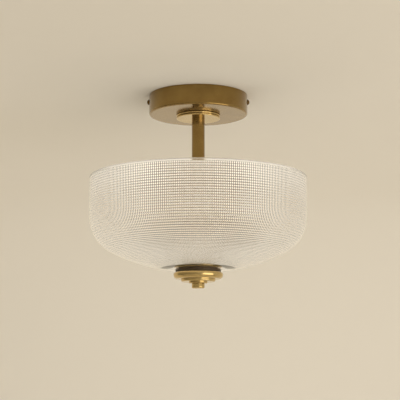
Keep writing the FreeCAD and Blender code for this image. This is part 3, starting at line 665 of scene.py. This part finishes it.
# %% Rows of points, turned about the axis
flute_count = 336
flute_lean = math.radians(24.0)
ring_pitch = 3.25
ring_lean = math.radians(17.0)
plain_rim = 1.7
plain_foot = 0.4
rim_rows = 5
first_outer_row = 6.0
straight_rows = 5
shoulder_rows = 22
bottom_rows = 14
plain_columns = 168
prism_columns = flute_count * 2


def circle_row(radius, level, columns=plain_columns):
    """One row of vertices, the same all round."""
    angles = np.arange(columns) * math.tau / columns
    return np.stack([radius * np.cos(angles), radius * np.sin(angles), np.full(columns, level)], 1)


def prism_row(path, step, share):
    """One inner row; every other column and every other step lies in a groove."""
    radius, level, normal_r, normal_z = side_point(path, wall)
    flute = math.pi * radius / flute_count * math.tan(flute_lean) * (np.arange(prism_columns) % 2)
    ring = ring_pitch / 2 * math.tan(ring_lean) * (step % 2)
    push = (flute + ring) * share
    angles = np.arange(prism_columns) * math.tau / prism_columns
    reach = radius + push * normal_r
    return np.stack([reach * np.cos(angles), reach * np.sin(angles), level + push * normal_z], 1)


def outer_rows():
    """From the rim's top down the outside to the foot."""
    straight = rim_level - shoulder_centre[1]
    shoulder_end = straight + shoulder_turn * shoulder_radius
    rim = [circle_row(bowl_radius - rim_round * (1 - math.sin(turn)),
                      rim_level - rim_round * (1 - math.cos(turn)))
           for turn in np.linspace(0, math.pi / 2, rim_rows)]
    paths = np.concatenate([np.linspace(first_outer_row, straight, straight_rows),
                            np.linspace(straight, shoulder_end, shoulder_rows)[1:],
                            np.linspace(shoulder_end, outer_length, bottom_rows)[1:]])
    return rim + [circle_row(*side_point(path, 0.0)[:2]) for path in paths]


def inner_rows():
    """From the inner floor up the inside to the rim's top, and the count of prism rows."""
    steps = 2 * int((inner_length - plain_rim - plain_foot) / ring_pitch)
    prisms = [prism_row(plain_rim + step * ring_pitch / 2, step, 0.0 if step in (0, steps) else 1.0)
              for step in range(steps + 1)]
    rim = [circle_row(bowl_radius - wall + rim_round * (1 - math.cos(turn)),
                      rim_level - rim_round * (1 - math.sin(turn)))
           for turn in np.linspace(0, math.pi / 2, rim_rows)]
    plain_end = circle_row(*side_point(inner_length, wall)[:2])
    return [plain_end] + prisms[::-1] + rim, steps


print("flutes %.2f mm apart and %.2f mm deep at the rim, rings %.2f mm deep" % (
    math.tau * bowl_radius / flute_count,
    math.pi * (bowl_radius - wall) / flute_count * math.tan(flute_lean),
    ring_pitch / 2 * math.tan(ring_lean)))

# %% [markdown]
# A skin of faces joins the rows, as cloth is laid over hoops. The smooth outside needs far fewer
# points than the fluted inside, so where two rows differ, each short edge of the one fans out to
# several of the other. Blender then turns every face outwards, which glass needs, because a ray
# tells from this whether it enters or leaves.

# %% Skin over the rows


def strip_faces(first, second, many, few):
    """Faces between two rows; where the counts differ, each short edge fans out to many."""
    ratio = many // few
    faces = []
    for index in range(few):
        following = (index + 1) % few
        outer = [first + (index * ratio + step) % many for step in range(ratio + 1)]
        faces.append(outer + [second + following, second + index])
    return faces


def turned_mesh(name, rows):
    """Joins rows in order and back to the first, with every face turned outwards."""
    starts = np.cumsum([0] + [len(row) for row in rows])
    faces = []
    for index, row in enumerate(rows):
        other = (index + 1) % len(rows)
        many, few = (index, other) if len(row) >= len(rows[other]) else (other, index)
        faces += strip_faces(int(starts[many]), int(starts[few]), len(rows[many]), len(rows[few]))
    piece = mesh_object(name, np.concatenate(rows).tolist(), faces)
    shell = bmesh.new()
    shell.from_mesh(piece.data)
    bmesh.ops.recalc_face_normals(shell, faces=shell.faces)
    print(name, "holds %.4f litres of material" % (shell.calc_volume(signed=True) * 1000))
    shell.to_mesh(piece.data)
    shell.free()
    return piece


# %% [markdown]
# Two columns to a flute and two rows to a ring make each cushion a flat-sided pyramid, and the
# real ones are rounded. Finer geometry would pass 200,000 triangles, so the corners carry their
# own normals instead: level on the crests and twice the flank's slope in the grooves, which
# shades each flank as the arc that it stands for.

# %% Rounded cushions
arc_end = 2              # an arc that starts level ends twice as steep as its chord


def corner_arrays(mesh, first_prism, steps):
    """Each corner of the prism faces, with its vertex's step and column."""
    corners = np.zeros(len(mesh.loops), dtype=np.int64)
    starts = np.zeros(len(mesh.polygons), dtype=np.int64)
    totals = np.zeros(len(mesh.polygons), dtype=np.int64)
    mesh.loops.foreach_get("vertex_index", corners)
    mesh.polygons.foreach_get("loop_start", starts)
    mesh.polygons.foreach_get("loop_total", totals)
    places = starts[totals == 4][:, None] + np.arange(4)
    row, column = np.divmod(corners[places] - first_prism, prism_columns)
    step = steps - row
    inside = ((step > 0) & (step < steps)).all(1)
    places, step, column = places[inside], step[inside], column[inside]
    seam = (column == prism_columns - 1).any(1)[:, None] & (column == 0)
    return places, step, np.where(seam, prism_columns, column)


def cushion_normals(mesh, first_prism, steps):
    """Sets the rounded normals, and gives the number of faces that got them."""
    places, step, column = corner_arrays(mesh, first_prism, steps)
    points = np.array([side_point(plain_rim + index * ring_pitch / 2, wall)
                       for index in range(steps + 1)])
    normal_r, normal_z = points[step, 2], points[step, 3]
    angle = column * math.tau / prism_columns
    side_round = np.sign(column - column.mean(1, keepdims=True))
    side_down = np.sign(step - step.mean(1, keepdims=True))
    lean_round = arc_end * math.tan(flute_lean) * (column % 2) * side_round
    lean_down = arc_end * math.tan(ring_lean) * (step % 2) * side_down
    outward = np.stack([normal_r * np.cos(angle), normal_r * np.sin(angle), normal_z], -1)
    along = np.stack([-np.sin(angle), np.cos(angle), np.zeros(angle.shape)], -1)
    down = np.stack([normal_z * np.cos(angle), normal_z * np.sin(angle), -normal_r], -1)
    tilted = outward - lean_round[..., None] * along - lean_down[..., None] * down
    normals = np.zeros((len(mesh.loops), 3))
    normals[places] = -tilted / np.linalg.norm(tilted, axis=-1, keepdims=True)
    mesh.normals_split_custom_set(normals.tolist())
    return len(places)


print("normals in a groove lean %.0f degrees" % math.degrees(math.atan(arc_end * math.tan(flute_lean))))

# %% [markdown]
# Now the bowl is put together: down the outside, in under the foot, up through the hole, out
# over the flat floor and up the inside. It stands in for the smooth CAD bowl and rides on the
# shade, so it comes down with the finial.

# %% The bowl
edge_bevel = 0.3
flat_margin = 2.0


def vertex_marks(mesh, name, values):
    """A number on each vertex, which the material reads by this name."""
    mesh.attributes.new(name, "FLOAT", "POINT").data.foreach_set("value", values)


inner_floor = foot_level + base
base_rows = [circle_row(radius, level) for radius, level in (
    (foot_radius - flat_margin, foot_level), (hole_radius + edge_bevel, foot_level),
    (hole_radius, foot_level + edge_bevel), (hole_radius, inner_floor - edge_bevel),
    (hole_radius + edge_bevel, inner_floor),
    (side_point(inner_length, wall)[0] - flat_margin, inner_floor))]
inside_rows, prism_steps = inner_rows()
outside_rows = outer_rows() + base_rows
bowl = turned_mesh("fluted_bowl", outside_rows + inside_rows)
first_prism = sum(len(row) for row in outside_rows) + len(inside_rows[0])
print("cushion faces:", cushion_normals(bowl.data, first_prism, prism_steps))

grooves = np.zeros(len(bowl.data.vertices))
groove_rows = slice(first_prism + prism_columns, first_prism + prism_steps * prism_columns)
grooves[groove_rows] = np.tile(np.arange(prism_columns) % 2, prism_steps - 1)
vertex_marks(bowl.data, "groove", grooves)
rim = np.zeros(len(bowl.data.vertices))
rim[:rim_rows * plain_columns] = rim[-rim_rows * plain_columns:] = 1.0
vertex_marks(bowl.data, "rim", rim)

bowl.data.materials.append(prismatic_glass)
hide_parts("glass_bowl")
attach(bowl, "shade")

# %% [markdown]
# A studio lamp mirrors in the bowl's shoulder as a bright patch, and a photographer holds a
# black card, a flag, in the way. Light linking is the flag here: the window lamp lights all
# but the bowl.

# %% Flag between the lamp and the bowl
flagged = bpy.data.collections.new("flagged_from_window_lamp")
flagged.objects.link(bowl)
window_lamp.light_linking.receiver_collection = flagged
flagged.collection_objects[0].light_linking.link_state = "EXCLUDE"

# %% [markdown]
# A small lamp cap is rolled from sheet, so its thread is a wave with round crests and round
# grooves, 2.82 mm from turn to turn, and the wall is as thick in the grooves as on the crests.
# Here each circle of points is drawn in by a cosine whose phase runs on with the angle, which
# makes one right-handed helix. Both caps are right-handed, though they point opposite ways.

# %% Threaded lamp caps
cap_wall = 0.35
cap_collar = 2.4
cap_flare = 0.65
thread_pitch = 2.82
thread_depth = 0.75
thread_fade = 1.5
rows_a_turn = 12
cap_columns = 64


def cap_circle(along, radius, side, length, start, axis_level):
    """One circle of the cap, drawn in by the thread; start is the end by the contact."""
    turn = np.arange(cap_columns) * math.tau / cap_columns
    fade = max(0.0, min(1.0, along / thread_fade, (length - along) / thread_fade))
    wave = 0.5 - 0.5 * np.cos(math.tau * along / thread_pitch - side * turn)
    reach = radius - thread_depth * fade * wave
    return np.stack([np.full(cap_columns, start + side * along), reach * np.cos(turn),
                     axis_level + reach * np.sin(turn)], 1)


def threaded_cap(name, side):
    """A lamp's screw cap; side is 1 where it points along +X and -1 where it points back."""
    low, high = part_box(name)
    start = (low.x if side > 0 else high.x) / MM
    axis_level = (low.z + high.z) / 2 / MM
    outer = (high.y - low.y) / 2 / MM
    radius, whole = outer - cap_flare, (high.x - low.x) / MM
    length = whole - cap_collar
    steps = np.linspace(0.0, length, int(length / thread_pitch * rows_a_turn))
    section = [(along, radius) for along in steps]
    section += [(length, outer), (whole, outer), (whole, outer - cap_wall),
                (length - cap_wall, outer - cap_wall)]
    section += [(along, radius - cap_wall) for along in steps[::-1]]
    rows = [cap_circle(along, reach, side, length, start, axis_level) for along, reach in section]
    piece = turned_mesh("threaded_" + name, rows)
    piece.data.materials.append(nickel_cap)
    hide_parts(name)
    return piece


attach(threaded_cap("lamp_cap_left", -1), "lamp_left")
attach(threaded_cap("lamp_cap_right", 1), "lamp_right")
print("lamp cap thread: %.2f mm from turn to turn" % thread_pitch)
